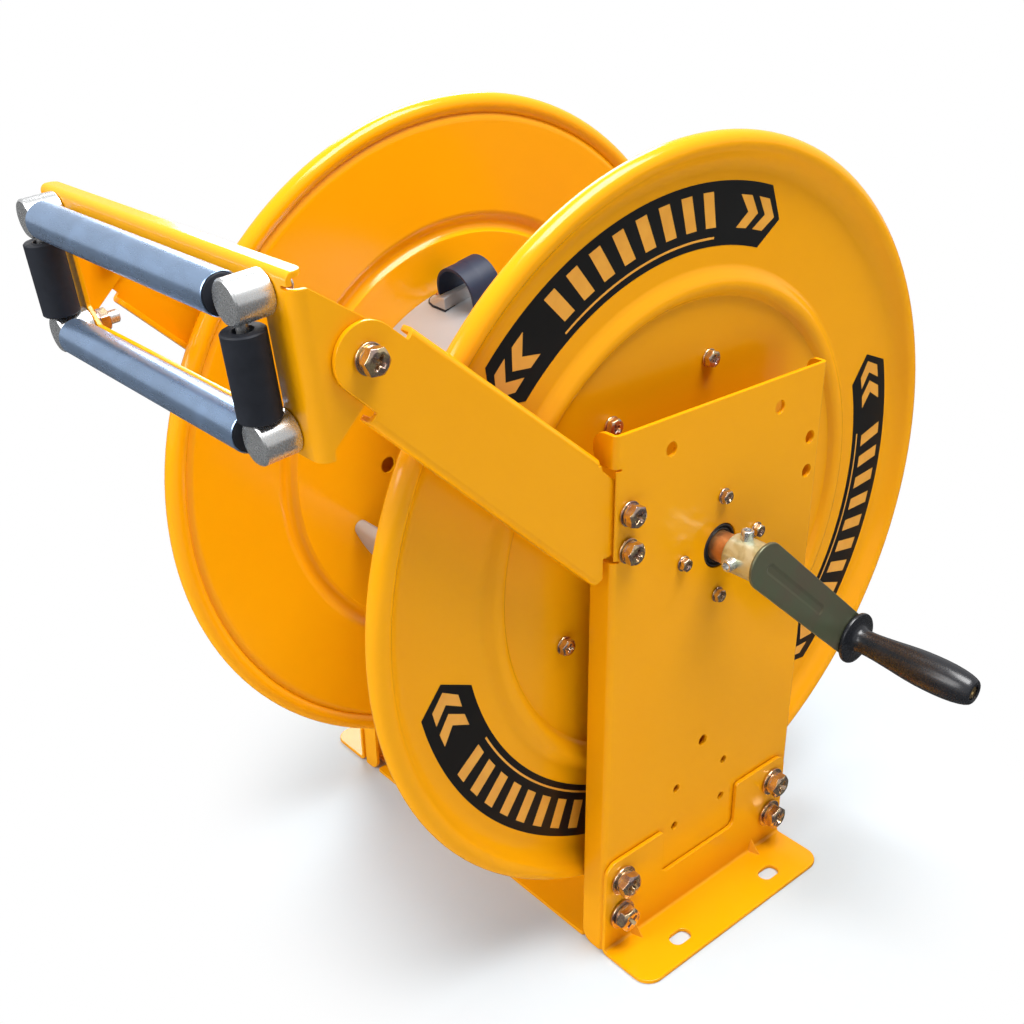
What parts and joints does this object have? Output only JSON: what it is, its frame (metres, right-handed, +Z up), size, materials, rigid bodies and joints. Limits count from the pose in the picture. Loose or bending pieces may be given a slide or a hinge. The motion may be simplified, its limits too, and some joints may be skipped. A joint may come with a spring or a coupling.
{
  "type": "hose reel",
  "caption": "Open-drum hose reel with a hand crank, pressed discs on folded pedestals, and a tilting roller hose guide in front.",
  "frame": {"origin": "on the floor plane, at the middle of the base plate's underside, under the middle of the reel's axis", "axes": "+Z up; +X along the reel's axis toward the crank; -Y toward the front, where the roller guide stands"},
  "size_m": [0.4583, 0.5621, 0.53],
  "materials": {
    "yellow_powder_coat": "gloss powder coat",
    "galvanised_sheet": "satin galvanised",
    "bright_zinc": "bright zinc plate",
    "yellow_passivated_steel": "yellow passivated zinc plate",
    "olive_passivated_steel": "olive passivated",
    "black_rubber": "satin",
    "black_plastic": "gloss",
    "bearing_polymer": "matte",
    "brass": "satin"
  },
  "bodies": {
    "frame": {"base_plate": "yellow_powder_coat", "left_bearing": "bearing_polymer", "left_foot_bracket": "yellow_powder_coat", "left_front_lower_foot_bolt": "yellow_passivated_steel", "left_front_upper_foot_bolt": "yellow_passivated_steel", "left_guide_arm": "yellow_powder_coat", "left_guide_pivot_bolt": "yellow_passivated_steel", "left_lower_arm_bolt": "yellow_passivated_steel", "left_pedestal": "yellow_powder_coat", "left_rear_lower_foot_bolt": "yellow_passivated_steel", "left_rear_upper_foot_bolt": "yellow_passivated_steel", "left_upper_arm_bolt": "yellow_passivated_steel", "right_bearing": "bearing_polymer", "right_foot_bracket": "yellow_powder_coat", "right_front_lower_foot_bolt": "yellow_passivated_steel", "right_front_upper_foot_bolt": "yellow_passivated_steel", "right_guide_arm": "yellow_powder_coat", "right_guide_pivot_bolt": "yellow_passivated_steel", "right_lower_arm_bolt": "yellow_passivated_steel", "right_pedestal": "yellow_powder_coat", "right_rear_lower_foot_bolt": "yellow_passivated_steel", "right_rear_upper_foot_bolt": "yellow_passivated_steel", "right_upper_arm_bolt": "yellow_passivated_steel"},
    "reel": {"axle": "bright_zinc", "clamp_band": "black_rubber", "clamp_saddle": "galvanised_sheet", "crank_arm": "olive_passivated_steel", "crank_front_set_screw": "bright_zinc", "crank_hub": "yellow_passivated_steel", "crank_top_set_screw": "bright_zinc", "front_drum_plate": "galvanised_sheet", "grip_bolt": "brass", "left_disc": "yellow_powder_coat", "outlet_riser": "bright_zinc", "rear_drum_plate": "galvanised_sheet", "right_disc": "yellow_powder_coat", "right_disc_bolt_1": "yellow_passivated_steel", "right_disc_bolt_2": "yellow_passivated_steel", "right_disc_bolt_3": "yellow_passivated_steel", "right_disc_bolt_4": "yellow_passivated_steel", "right_disc_bolt_5": "yellow_passivated_steel", "right_disc_bolt_6": "yellow_passivated_steel", "top_drum_plate": "galvanised_sheet"},
    "grip": {"grip": "black_plastic"},
    "inlet_swivel": {"inlet_swivel": "brass"},
    "guide": {"guide_bracket": "yellow_powder_coat", "left_lower_post": "bright_zinc", "left_roller_pin": "bright_zinc", "left_upper_post": "bright_zinc", "lower_roller_pin": "bright_zinc", "right_lower_post": "bright_zinc", "right_roller_pin": "bright_zinc", "right_upper_post": "bright_zinc", "upper_roller_pin": "bright_zinc"},
    "upper_roller": {"upper_roller": "black_rubber"},
    "lower_roller": {"lower_roller": "black_rubber"},
    "left_roller": {"left_roller": "black_rubber"},
    "right_roller": {"right_roller": "black_rubber"}
  },
  "joints": [
    {"name": "reel_spin", "type": "hinge", "parent": "frame", "child": "reel", "pos_m": [0, 0, 0.28], "axis": [1, 0, 0], "continuous": true},
    {"name": "grip_spin", "type": "hinge", "parent": "reel", "child": "grip", "pos_m": [0.2, 0.10598, 0.18624], "axis": [1, 0, 0], "continuous": true},
    {"name": "inlet_swivel_turn", "type": "hinge", "parent": "frame", "child": "inlet_swivel", "pos_m": [-0.17, 0, 0.28], "axis": [1, 0, 0], "continuous": true},
    {"name": "guide_tilt", "type": "hinge", "parent": "frame", "child": "guide", "pos_m": [0, -0.25409, 0.46191], "axis": [1, 0, 0], "range_deg": [-80, 10]},
    {"name": "upper_roller_spin", "type": "hinge", "parent": "guide", "child": "upper_roller", "pos_m": [0, -0.30151, 0.49238], "axis": [1, 0, 0], "continuous": true},
    {"name": "lower_roller_spin", "type": "hinge", "parent": "guide", "child": "lower_roller", "pos_m": [0, -0.29468, 0.42512], "axis": [1, 0, 0], "continuous": true},
    {"name": "left_roller_spin", "type": "hinge", "parent": "guide", "child": "left_roller", "pos_m": [-0.1107, -0.2981, 0.45875], "axis": [0, -0.1011, 0.9949], "continuous": true},
    {"name": "right_roller_spin", "type": "hinge", "parent": "guide", "child": "right_roller", "pos_m": [0.1107, -0.2981, 0.45875], "axis": [0, -0.1011, 0.9949], "continuous": true}
  ]
}
